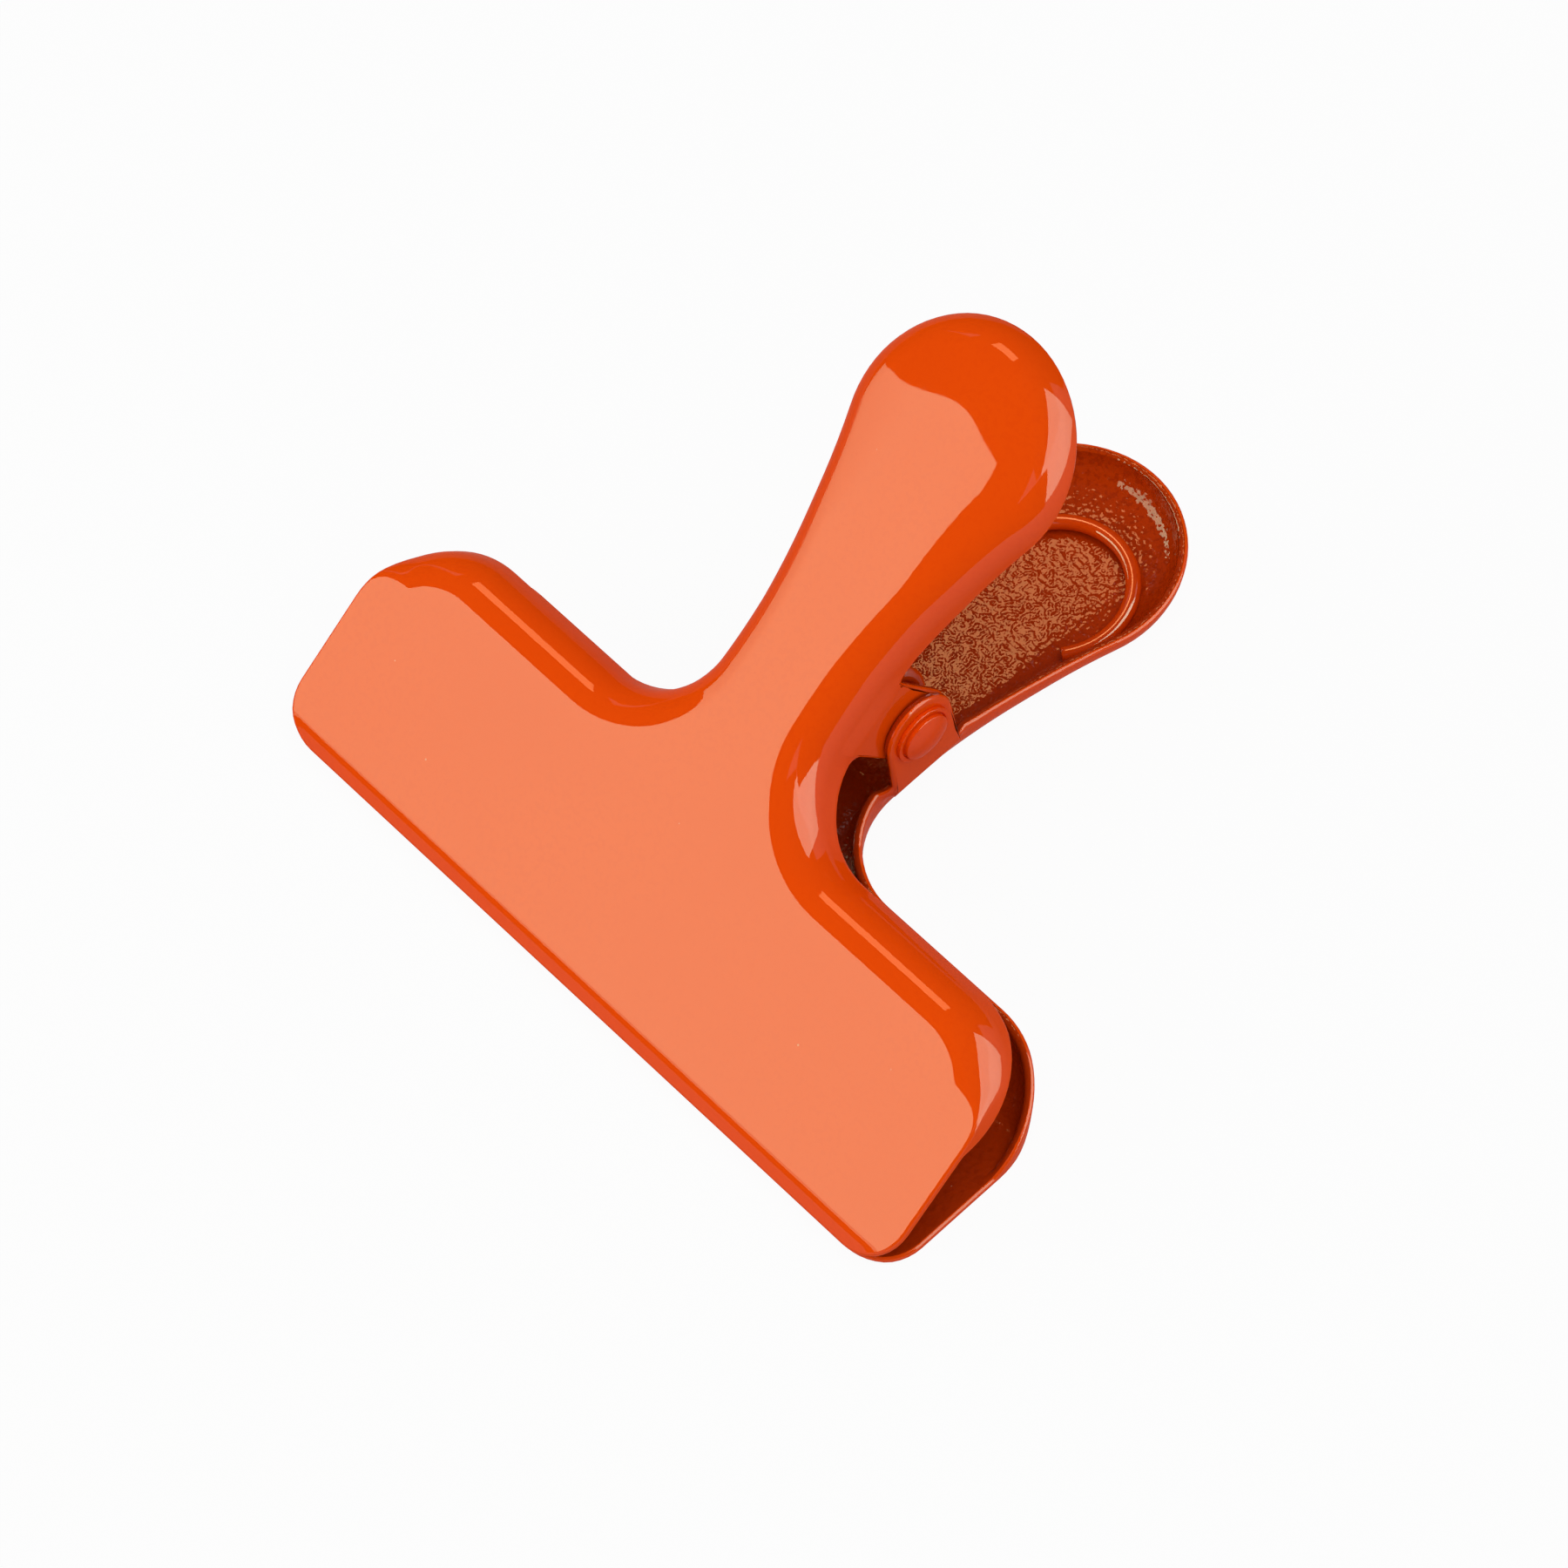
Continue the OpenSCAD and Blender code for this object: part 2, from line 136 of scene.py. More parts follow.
def lacquerGroup():  # colour drift, orange peel, dust and hair scratches of a sprayed gloss lacquer
    group = bpy.data.node_groups.new("sprayedLacquer", "ShaderNodeTree")
    colourSocket, numberSocket = "NodeSocketColor", "NodeSocketFloat"
    for names, way, kind in ((colourInputs, "INPUT", colourSocket),
                             (numberInputs, "INPUT", numberSocket),
                             (("Colour",), "OUTPUT", colourSocket),
                             (("Roughness", "Height"), "OUTPUT", numberSocket)):
        for name in names:
            group.interface.new_socket(name=name, in_out=way, socket_type=kind)
    nodes, links = group.nodes, group.links
    given = nodes.new("NodeGroupInput").outputs
    made = nodes.new("NodeGroupOutput").inputs
    place = nodes.new("ShaderNodeTexCoord").outputs["Object"]

    def give(socket, value):  # a plain value, or a link where the value is a socket
        if isinstance(value, (int, float, tuple)):
            socket.default_value = value
        else:
            links.new(value, socket)

    def noise(scale, detail=1.0, vector=place):
        node = nodes.new("ShaderNodeTexNoise")
        links.new(vector, node.inputs["Vector"])
        give(node.inputs["Scale"], scale)
        node.inputs["Detail"].default_value = detail
        return node.outputs["Fac"]

    def ramp(value, limits):
        node = nodes.new("ShaderNodeMapRange")
        links.new(value, node.inputs["Value"])
        node.inputs["From Min"].default_value, node.inputs["From Max"].default_value = limits
        return node.outputs["Result"]

    def calc(operation, a, b):
        node = nodes.new("ShaderNodeMath")
        node.operation = operation
        give(node.inputs[0], a)
        give(node.inputs[1], b)
        return node.outputs[0]

    def blendColours(share, a, b):
        node = nodes.new("ShaderNodeMix")
        node.data_type = "RGBA"
        links.new(share, node.inputs[0])
        give(node.inputs[6], a)  # 6, 7 and output 2 are the colour sockets
        give(node.inputs[7], b)
        return node.outputs[2]

    drift = ramp(noise(sprayed["driftScale"], sprayed["driftDetail"]), sprayed["driftRange"])
    fleck = ramp(noise(sprayed["fleckScale"], sprayed["fleckDetail"]), sprayed["fleckRange"])
    deep = calc("MAXIMUM", calc("MULTIPLY", drift, given["Drift"]),
                calc("MULTIPLY", fleck, given["Drift"]))
    colour = blendColours(deep, given["Colour"], given["Deep Colour"])

    grains = nodes.new("ShaderNodeTexVoronoi")
    links.new(place, grains.inputs["Vector"])
    grains.inputs["Scale"].default_value = sprayed["dustScale"]
    grain = ramp(grains.outputs["Distance"], sprayed["dustRange"])
    patch = ramp(noise(sprayed["dustPatchScale"]), sprayed["dustPatchRange"])
    dust = calc("MULTIPLY", calc("MULTIPLY", grain, patch), given["Dust"])
    colour = blendColours(dust, colour, sprayed["dustColour"])

    stretch = nodes.new("ShaderNodeMapping")
    links.new(place, stretch.inputs["Vector"])
    stretch.inputs["Rotation"].default_value = sprayed["hairTurn"]
    stretch.inputs["Scale"].default_value = sprayed["hairScale"]
    hair = ramp(noise(1.0, vector=stretch.outputs["Vector"]), sprayed["hairRange"])
    patch = ramp(noise(sprayed["hairPatchScale"]), sprayed["hairPatchRange"])
    hair = calc("MULTIPLY", hair, patch)

    peel = noise(given["Peel Scale"], sprayed["peelDetail"])
    peel = calc("MULTIPLY", peel, given["Peel Height"])
    swell = calc("MULTIPLY", given["Peel Height"], sprayed["swellShare"])
    swell = calc("MULTIPLY", noise(sprayed["swellScale"]), swell)
    height = calc("ADD", calc("ADD", peel, swell), calc("MULTIPLY", dust, sprayed["dustHeight"]))
    height = calc("SUBTRACT", height, calc("MULTIPLY", hair, sprayed["hairDepth"]))
    rough = calc("ADD", given["Roughness"], calc("MULTIPLY", hair, sprayed["hairRoughness"]))
    links.new(colour, made["Colour"])
    links.new(rough, made["Roughness"])
    links.new(height, made["Height"])
    return group


coat = {
    "roughness": 0.03,
    # gloss over how far the surface is turned away: full face-on, little edge-on
    "fade": {"From Min": 0.15, "From Max": 0.5, "To Min": 1.0, "To Max": 0.14},
}


def lacquer(name, values):
    material = bpy.data.materials.new(name)
    material.use_nodes = True
    nodes, links = material.node_tree.nodes, material.node_tree.links
    shader = nodes["Principled BSDF"].inputs
    finish = nodes.new("ShaderNodeGroup")
    finish.node_tree = sprayedLacquer
    for socket in colourInputs:
        finish.inputs[socket].default_value = (*values[socket], 1)
    for socket in numberInputs:
        finish.inputs[socket].default_value = values[socket]
    bump = nodes.new("ShaderNodeBump")
    bump.inputs["Strength"].default_value = 1.0
    bump.inputs["Distance"].default_value = sprayed["heightUnit"]
    links.new(finish.outputs["Height"], bump.inputs["Height"])
    links.new(bump.outputs["Normal"], shader["Normal"])
    links.new(finish.outputs["Colour"], shader["Base Color"])
    links.new(finish.outputs["Roughness"], shader["Roughness"])
    shader["Specular IOR Level"].default_value = values["Specular"]
    shader["IOR"].default_value = values["IOR"]
    if "Coat IOR" not in values:
        return material
    facing = nodes.new("ShaderNodeLayerWeight")
    facing.inputs["Blend"].default_value = 0.5
    sheen = nodes.new("ShaderNodeMapRange")
    for socket, number in coat["fade"].items():
        sheen.inputs[socket].default_value = number
    links.new(facing.outputs["Facing"], sheen.inputs["Value"])
    links.new(sheen.outputs["Result"], shader["Coat Weight"])
    shader["Coat Roughness"].default_value = coat["roughness"]
    shader["Coat IOR"].default_value = values["Coat IOR"]
    return material


coated = {"Roughness": 0.35, "Specular": 0.0, "IOR": 1.45}  # all the gloss is in the coat
finishes = {
    "outside": {**coated, "Colour": (0.83, 0.071, 0.001), "Deep Colour": (0.78, 0.057, 0.001),
                "Drift": 0.3, "Dust": 0.5, "Peel Scale": 700.0, "Peel Height": 0.02,
                "Coat IOR": 1.36},
    # inside: a darker colour than the outside's, painted shade for the hollow between the plates
    # and the inner half of the cut edges
    "shadedInside": {"Colour": (0.45, 0.035, 0.001), "Deep Colour": (0.22, 0.011, 0.001),
               "Drift": 0.4, "Dust": 0.3, "Peel Scale": 2300.0, "Peel Height": 0.8,
               "Roughness": 0.04, "Specular": 0.5, "IOR": 1.38},
    "rivet": {**coated, "Colour": (0.85, 0.066, 0.001), "Deep Colour": (0.66, 0.045, 0.001),
              "Drift": 0.3, "Dust": 0.3, "Peel Scale": 900.0, "Peel Height": 0.05,
              "Coat IOR": 1.36},
    # spring: a darker colour than the plates' outside, painted shade of the handles' hollows where
    # the wire lies
    "spring": {**coated, "Colour": (0.70, 0.056, 0.001), "Deep Colour": (0.52, 0.030, 0.001),
               "Drift": 0.3, "Dust": 0.2, "Peel Scale": 1100.0, "Peel Height": 0.06,
               "Coat IOR": 1.65},
}
sprayedLacquer = lacquerGroup()
outsideLacquer = lacquer("plateLacquer", finishes["outside"])
shadedInsideLacquer = lacquer("plateLacquerShadedInside", finishes["shadedInside"])
rivetLacquer = lacquer("rivetLacquer", finishes["rivet"])
shadedSpringLacquer = lacquer("shadedSpringLacquer", finishes["spring"])
print("materials made")

plate = {  # millimetres and degrees; y is the distance from the lip, depths run from the outer face
    "jawWidth": 75, "jawHeight": 22, "lipCorner": 4.3, "armCorner": 9, "length": 66.2, "bulb": 10,
    "neckWidth": 12.7, "neckCorner": 8.4, "waist": 64.5,
    "edgeRound": 0.30,    # rounding of the sheet's cut edges
    "edgeMiddle": 0.3,    # how far the middle of that rounding lies in, as a share of it
    "creaseRound": 0.05,  # inner radius where the sheet is bent too sharply to have one
    "faceRim": 0.4,       # strip of the flat beside the bend

    # tables over y: lean of the flange, radius of the bend, depth of the flange, share of the crown
    "lean": ((0, 5.4), (36, 5.4), (46, 10.1), (67, 10.1)),
    "bend": ((0, 0.3), (14, 0.3), (15.5, 0.45), (16.7, 1.3), (17.6, 2.4), (18.4, 3.4),
             (19.2, 3.65), (67, 3.65)),
    "flange": ((0, 0.8), (12.4, 0.8), (21.1, 4.9), (22.1, 5.0), (25, 5.5), (29.8, 5.9),
               (37.2, 5.0), (40, 4.6), (56, 4.2), (66.2, 3.6)),
    "crown": ((0, 0), (44, 0), (53, 1), (67, 1)),
    "crownRadius": 20, "crownAngle": 13,
    "lipTurn": (-0.3, 1.8), "lipDrop": 0.435,  # where the lip curls inwards, and how far

    # the ears; earBlend is the depth over which the leaning flange turns into an ear's flat face
    "earHalf": 3.6, "earEnd": 3.95, "earFoot": 0.8, "earApart": 0.12, "earStart": 0.35,
    "earBlend": (3.4, 5.6), "earRows": (3.5, 4.2, 4.9, 5.6), "earRounding": (5.3, 6.3),
    "belowEar": 0.5, "aboveEar": 0.6,  # gaps to the next sections

    "sideRows": (6.5, 8.8, 11, 12.4),  # sections up the jaw's straight sides
    "lipSteps": 10, "armSteps": 20, "sideSteps": 6, "middleSteps": 12, "cornerSteps": 14,
    "footSteps": 4, "earSteps": 22, "waistSteps": 10, "bulbSteps": 16,
    "tipAngle": 60,  # where the tip of the round end begins
    "bendSteps": 9, "crownSteps": 3, "flangeRows": 6,
}


def table(name, y):
    return float(np.interp(y, [row[0] for row in plate[name]], [row[1] for row in plate[name]]))


def outlinePoint(x, y, nx, ny, depth=None, ear=0.0, edge=(0.0, 1.0), nearEar=False):
    return {"x": x, "y": y, "n": (nx, ny), "depth": table("flange", y) if depth is None else depth,
            "ear": ear, "edge": edge, "nearEar": nearEar}


def arcPoints(at, radius, start, end, steps, sign=1, first=1):
    made = []
    for step in range(first, steps + 1):
        angle = start + (end - start) * step / steps
        made.append(outlinePoint(at[0] + radius * cosd(angle), at[1] + radius * sind(angle),
                                 sign * cosd(angle), sign * sind(angle)))
    return made


class Neck:  # hollow side of the neck: an arc in the corner, then the long arc up to the round end
    def __init__(self):
        corner = (plate["neckWidth"] / 2 + plate["neckCorner"],
                  plate["jawHeight"] + plate["neckCorner"])
        bulb = (0, plate["length"] - plate["bulb"])
        dx, dy = bulb[0] - corner[0], bulb[1] - corner[1]
        gap = math.hypot(dx, dy)
        fromCorner = plate["waist"] - plate["neckCorner"]
        fromBulb = plate["waist"] + plate["bulb"]
        along = (fromCorner ** 2 - fromBulb ** 2 + gap ** 2) / (2 * gap)
        aside = math.sqrt(fromCorner ** 2 - along ** 2)
        waist = (corner[0] + (along * dx + aside * dy) / gap,
                 corner[1] + (along * dy - aside * dx) / gap)
        cornerAngle = math.degrees(math.atan2(corner[1] - waist[1], corner[0] - waist[0])) + 360
        self.bulbAngle = math.degrees(math.atan2(bulb[1] - waist[1], bulb[0] - waist[0]))
        self.cornerEnd = waist[1] + plate["waist"] * sind(cornerAngle)
        self.waistEnd = waist[1] + plate["waist"] * sind(self.bulbAngle)
        self.corner, self.bulb, self.waist = corner, bulb, waist

    def point(self, y, **more):
        at, radius = self.waist, plate["waist"]
        if y < self.cornerEnd:
            at, radius = self.corner, plate["neckCorner"]
        dy = y - at[1]
        dx = math.sqrt(radius ** 2 - dy ** 2)
        return outlinePoint(at[0] - dx, y, dx / radius, -dy / radius, **more)


def earPoints(neck):
    pivot, half, foot = clip["pivotUp"], plate["earHalf"], plate["earFoot"]
    steps, start = plate["footSteps"], plate["earStart"]

    def footPoint(side, step):  # fillet from the flange into the ear, below it (-1) or above it (1)
        turn = 90 * step / steps
        y = pivot + side * (half + foot * (1 - sind(turn)) + plate["earApart"])
        flange = table("flange", pivot + side * (half + foot))
        return neck.point(y, depth=flange + foot * (1 - cosd(turn)), nearEar=True,
                          ear=start + (1 - start) * step / steps,
                          edge=(side * sind(turn), cosd(turn)))

    made = [footPoint(-1, step) for step in range(steps + 1)]
    for step in range(plate["earSteps"] + 1):
        turn = 180 * step / plate["earSteps"]
        made.append(neck.point(pivot - half * cosd(turn), nearEar=True, ear=1.0,
                               depth=clip["pivotIn"] + plate["earEnd"] * sind(turn),
                               edge=(-cosd(turn), sind(turn))))
    return made + [footPoint(1, step) for step in range(steps, -1, -1)]


def bendCurve(y):  # angles and (distance out, depth) of the skin round the bend, from the flat
    lean, bend, first = table("lean", y), table("bend", y), plate["crownAngle"]
    crownRadius = bend + (plate["crownRadius"] - bend) * table("crown", y)
    crownSteps, bendSteps = plate["crownSteps"], plate["bendSteps"]
    angles = [first * k / crownSteps for k in range(crownSteps)]
    angles += [first + (90 - lean - first) * k / bendSteps for k in range(bendSteps + 1)]
    curve = [(0.0, 0.0)]
    for k, (a, b) in enumerate(zip(angles, angles[1:])):
        radius = crownRadius if k < crownSteps else bend
        curve.append((curve[-1][0] + radius * (sind(b) - sind(a)),
                      curve[-1][1] + radius * (cosd(a) - cosd(b))))
    shift = curve[-1][1] * tand(lean) - curve[-1][0]
    return angles, [(s + shift, d) for s, d in curve]


def section(point, earFace):
    # The sheet's skin at one point of the outline, from the outer flat round the free edge to the
    # inner flat. Each row is the distance out, the depth and the distance in from the outer skin.
    y, t, e, depth = point["y"], clip["sheet"], plate["edgeRound"], point["depth"]
    lean, crease = table("lean", y), plate["creaseRound"]
    angles, curve = bendCurve(y)
    outer = [(s, d, 0.0) for s, d in curve]
    if table("bend", y) >= t + crease:
        inner = [(s - t * sind(a), d + t * cosd(a), t) for (s, d), a in zip(curve, angles)]
    else:
        slant = tand((90 - lean) / 2)
        inner = [(crease * sind(a) - (t * slant + crease * slant), t + crease * (1 - cosd(a)), t)
                 for a in angles]
    inner = [(s, min(d, depth), q) for s, d, q in inner]
    outer.insert(0, (outer[0][0] - plate["faceRim"], 0.0, 0.0))
    inner.insert(0, (inner[0][0] - plate["faceRim"], t, t))

    def flangeRows(begin, end):
        count, beside = plate["flangeRows"], list(plate["earRows"])
        even = [begin + (end - begin) * (k + 1) / count for k in range(count)]
        if not point["nearEar"]:
            return even
        return [min(a, b) for a, b in zip(even, beside + [(beside[-1] + end) / 2, end])]

    def onFlange(d, q):
        return (d * tand(lean) - q / cosd(lean), d, q)

    def pulled(rows):  # along an ear's sides the rounding comes off every row above the flange
        if not point["nearEar"]:
            return [0.0] * len(rows)
        return [-e * smoothStep(row[1], *plate["earRounding"]) for row in rows]

    edgeY, edgeDepth = point["edge"]
    middle = plate["edgeMiddle"] * e
    outerEnd, corner = depth - e * edgeDepth, depth - middle * edgeDepth
    innerEnd = max(outerEnd, min(depth, t))
    outerRows = [onFlange(d, 0.0) for d in flangeRows(outer[-1][1], outerEnd)]
    innerRows = [onFlange(d, t) for d in flangeRows(inner[-1][1], innerEnd)]
    rim = [onFlange(corner, middle), onFlange(depth, e), onFlange(depth, t - e),
           onFlange(max(corner, min(depth, t)), t - middle)]
    skin = outer + outerRows + rim + innerRows[::-1] + inner[::-1]
    pulls = (pulled(outer) + pulled(outerRows[:-1]) + [-e, -middle, 0, 0, -middle, -e]
             + pulled(innerRows[:-1][::-1]) + pulled(inner))
    made = []
    for (s, d, q), pull in zip(skin, pulls):
        x = point["x"] + point["n"][0] * s
        x += (earFace - q - x) * point["ear"] * smoothStep(d, *plate["earBlend"])
        made.append((x, point["y"] + point["n"][1] * s + edgeY * pull, d))
    return made


def lipDrop(y):
    return plate["lipDrop"] * (1 - smoothStep(y, *plate["lipTurn"]))


def plateSkin(earFace):
    neck = Neck()
    out, mid = plate["sideSteps"], plate["middleSteps"]
    half, height = plate["jawWidth"] / 2, plate["jawHeight"]
    lipRadius, armRadius = plate["lipCorner"], plate["armCorner"]
    armEnd, lipEnd, filletStart = half - armRadius, half - lipRadius, neck.corner[0]

    # Points across the flat of the jaw, from left to right
    arm = [armEnd + (filletStart - armEnd) * k / out for k in range(out)]
    across = [filletStart * (1 - 2 * k / mid) for k in range(mid - 1, -1, -1)]
    across = [-x for x in arm] + [-filletStart] + across + arm[::-1]

    # The outline: along the lip, up the right side, round the tip; the left side mirrors the right
    lip = [outlinePoint(x / armEnd * lipEnd, 0, 0, -1) for x in across]
    jaw = arcPoints((lipEnd, lipRadius), lipRadius, -90, 0, plate["lipSteps"])
    jaw += [outlinePoint(half, y, 1, 0) for y in plate["sideRows"]]
    jaw += arcPoints((armEnd, height - armRadius), armRadius, 0, 90, plate["armSteps"], first=0)
    armTop = [outlinePoint(x, height, 0, 1) for x in arm[1:] + [filletStart]]
    ears = earPoints(neck)
    belowEar = neck.corner[1] - ears[0]["y"] + plate["belowEar"]
    low = 180 + math.degrees(math.asin(belowEar / plate["neckCorner"]))
    side = arcPoints(neck.corner, plate["neckCorner"], 270, low, plate["cornerSteps"], sign=-1)
    side += ears
    start, steps = ears[-1]["y"] + plate["aboveEar"], plate["waistSteps"]
    side += [neck.point(start + (neck.waistEnd - start) * k / steps) for k in range(steps)]
    tipAngle = plate["tipAngle"]
    side += arcPoints(neck.bulb, plate["bulb"], neck.bulbAngle - 180, tipAngle,
                      plate["bulbSteps"], first=0)
    tip = arcPoints(neck.bulb, plate["bulb"], tipAngle, 180 - tipAngle, mid)[:-1]
    right = jaw + armTop + side

    sections = [section(p, earFace) for p in lip + right + tip]
    lipCount, rightCount, count = len(lip), len(right), len(sections) + len(right)
    for made in sections[lipCount:lipCount + rightCount][::-1]:
        sections.append([(-x, y, d) for x, y, d in made])
    size = len(sections[0])
    points = [p for made in sections for p in made]
    faces, shadedInside = [], []
    for i in range(count):
        for j in range(size - 1):
            a, b = i * size + j, ((i + 1) % count) * size + j
            if j >= size // 2 - 1:  # from the middle of the cut edge on, the faces take the darker inside colour, painted shade
                shadedInside.append(len(faces))
            faces.append((a, b, b + 1, a + 1))

    def rightIndex(k, column):
        return (lipCount + k) * size + column

    def leftIndex(k, column):
        return (count - 1 - k) * size + column

    def row(k, shares, column):  # a row of the flat face from the left section to the right one
        a, b = leftIndex(k, column), rightIndex(k, column)
        made = [a]
        for share in shares[1:-1]:
            f = (share + 1) / 2
            points.append(tuple(p * (1 - f) + q * f for p, q in zip(points[a], points[b])))
            made.append(len(points) - 1)
        return made + [b]

    jawShares = [x / armEnd for x in across]
    neckShares = [-1 + 2 * k / mid for k in range(mid + 1)]
    corner, fillet, tipStart = len(jaw) - 1, len(jaw) + out - 1, lipCount + rightCount
    for column in (0, size - 1):  # the outer flat, then the inner one
        rows = [[i * size + column for i in range(lipCount)]]
        rows += [row(k, jawShares, column) for k in range(corner)]
        atFillet = row(fillet, neckShares, column)
        rows.append([leftIndex(corner + k, column) for k in range(out)] + atFillet
                    + [rightIndex(corner + k, column) for k in range(out - 1, -1, -1)])
        more = [atFillet] + [row(k, neckShares, column) for k in range(fillet + 1, rightCount)]
        tipRow = [(tipStart + k) * size + column for k in range(mid - 2, -1, -1)]
        more.append([more[-1][0]] + tipRow + [more[-1][-1]])
        for lower, upper in list(zip(rows, rows[1:])) + list(zip(more, more[1:])):
            for k in range(len(lower) - 1):
                ring = [lower[k], lower[k + 1], upper[k + 1], upper[k]]
                # the inner flat takes the darker inside colour, painted shade
                if column:
                    shadedInside.append(len(faces))
                faces.append(tuple(v for n, v in enumerate(ring) if v not in ring[:n]))
    return [(x, y, d + lipDrop(y)) for x, y, d in points], faces, shadedInside


for name, node, earFace, place, body in (
        ("rearPlate", "rear_plate", clip["outerEar"], onRear, "rear_half"),
        ("frontPlate", "front_plate", clip["innerEar"], onFront, "front_half")):
    points, faces, shadedInside = plateSkin(earFace)
    makePiece(name, [place(p) for p in points], faces, node,
              [outsideLacquer, shadedInsideLacquer], body, shadedInside)
print("plates made")

rivet = {  # millimetres
    "shank": 1.5, "ring": 2.8, "ringHeight": 0.4, "disc": 2.25, "wall": 0.74, "height": 1.2,
    "edge": 0.1,                      # rounding of the ring and the disc
    "foot": ((0, 0.05), (0.06, 0)),   # distance out from the ear, distance in from the ring's side
    # groove between ring and disc: depth below the ring's top, distance out from the disc's side
    "groove": ((0, 0.2), (0.06, 0.13), (0.22, 0.1), (0.22, 0.02), (0.18, 0)),
    "domePower": 2.2, "domeSteps": 13, "tip": 0.1, "steps": 72,
    "ringTurns": (30, 60, 90), "discTurns": (25, 50, 75),
}


def headProfile():  # a thin ring with a low domed disc on it: distance out from the ear, radius
    ring, disc, top, wall = rivet["ring"], rivet["disc"], rivet["ringHeight"], rivet["wall"]
    edge, steps = rivet["edge"], rivet["domeSteps"]

    def rounded(height, radius, turns):
        return [(height - edge * (1 - sind(turn)), radius - edge * (1 - cosd(turn)))
                for turn in turns]

    made = [(out, ring - inwards) for out, inwards in rivet["foot"]] + [(top - edge, ring)]
    made += rounded(top, ring, rivet["ringTurns"])
    made += [(top - down, disc + out) for down, out in rivet["groove"]] + [(wall - edge, disc)]
    made += rounded(wall, disc, rivet["discTurns"])
    rise, reach = rivet["height"] - wall, disc - edge
    made += [(wall + rise * (1 - (1 - k / steps) ** rivet["domePower"]), reach * (1 - k / steps))
             for k in range(1, steps)]
    return made


def turned(profile, steps):  # revolves (x, radius) pairs about the pivot's axis, closes both ends
    points, faces = [], []
    for x, radius in profile:
        for k in range(steps):
            angle = 360 * k / steps
            points.append((x, radius * cosd(angle), clip["pivotIn"] + radius * sind(angle)))
    for i in range(len(profile) - 1):
        for k in range(steps):
            a, b = i * steps + k, i * steps + (k + 1) % steps
            faces.append((a, b, b + steps, a + steps))
    for end, base in ((profile[0][0], 0), (profile[-1][0], (len(profile) - 1) * steps)):
        points.append((end, 0, clip["pivotIn"]))
        faces += [(base + k, base + (k + 1) % steps, len(points) - 1) for k in range(steps)]
    return points, faces


half = [(clip["outerEar"], rivet["shank"])]
half += [(clip["outerEar"] + x, radius) for x, radius in headProfile()]
half += [(clip["outerEar"] + rivet["height"], rivet["tip"])]
points, faces = turned([(-x, radius) for x, radius in half[::-1]] + half, rivet["steps"])
makePiece("pivotRivet", points, faces, "pivot_rivet", [rivetLacquer], "rear_half")
print("rivet made")

spring = {  # millimetres and degrees; wire and coil are radii
    "wire": 0.675, "coil": 3.0, "coilEnd": 5.2777, "turns": 5, "lift": 0.1,
    "ease": 30,         # angle over which the pitch starts and stops
    "lead": 1.35,       # straight wire at each end of the coil, where a leg takes over
    "legSlope": 19.793, "legReach": 18.161, "legBend": 3.0,
    "hookAt": (1.3223, 20.4), "hookRadius": 6.6, "hookTurn": 219,
    "hookRise": 0.22, "hookRiseFrom": (-3, 8),
    "endRound": 0.12,   # rounding of the cut ends
    "sides": 16, "turnSteps": 32, "slopeSteps": 5, "bendSteps": 8, "hookSteps": 48,
}
legDir = clip["halfAngle"] + spring["legSlope"]
legDrop = clip["pivotIn"] - clip["sheet"] - spring["wire"] - spring["lift"]


def tube(path, startWay, endWay):
    radius, sides, bite = spring["wire"], spring["sides"], spring["endRound"]
    path = [Vector(p) for p in path]
    steps = [(b - a).normalized() for a, b in zip(path, path[1:])]
    ways = [Vector(startWay).normalized()]
    ways += [(after + before).normalized() for before, after in zip(steps, steps[1:])]
    ways.append(Vector(endWay).normalized())
    stations = [(path[0], ways[0], radius - bite), (path[0] + ways[0] * bite, ways[0], radius)]
    stations += [(p, w, radius) for p, w in zip(path[1:-1], ways[1:-1])]
    stations += [(path[-1] - ways[-1] * bite, ways[-1], radius),
                 (path[-1], ways[-1], radius - bite)]
    across = ways[0].orthogonal().normalized()
    points, faces, last = [], [], ways[0]
    for at, way, reach in stations:
        across = last.rotation_difference(way) @ across
        across = (across - across.dot(way) * way).normalized()
        side = way.cross(across)
        last = way
        for k in range(sides):
            angle = 360 * k / sides
            points.append(tuple(at + reach * (cosd(angle) * across + sind(angle) * side)))
    for i in range(len(stations) - 1):
        for k in range(sides):
            a, b = i * sides + k, i * sides + (k + 1) % sides
            faces.append((a, b, b + sides, a + sides))
    for base in (0, (len(stations) - 1) * sides):
        faces.append(tuple(range(base, base + sides)))
    return points, faces


def coilPath():  # x, then along and across the line midway between the handles
    whole = 180 - 2 * legDir + 360 * spring["turns"]
    ease, radius, lead = spring["ease"], spring["coil"], spring["lead"]

    def runIn(a):
        return a * a / (2 * ease) if a < ease else a - ease / 2

    path = []
    steps = spring["turnSteps"] * (spring["turns"] + 1)
    for k in range(steps + 1):
        a = whole * k / steps
        run = runIn(a) if a < whole / 2 else whole - ease - runIn(whole - a)
        turn = 270 - legDir - a
        path.append((spring["coilEnd"] * (2 * run / (whole - ease) - 1), radius * cosd(turn),
                     radius * sind(turn)))
    ways = (0, cosd(legDir), -sind(legDir)), (0, cosd(legDir), sind(legDir))
    first, last = (tuple(c + lead * w for c, w in zip(end, way))
                   for end, way in zip((path[0], path[-1]), ways))
    return [first] + path + [last]


path = [Vector(aboutPivot(*p, clip["halfAngle"])) for p in coilPath()]
points, faces = tube(path, path[1] - path[0], path[-1] - path[-2])
coil = makePiece("springCoil", points, faces, "spring_coil", [shadedSpringLacquer])
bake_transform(coil)


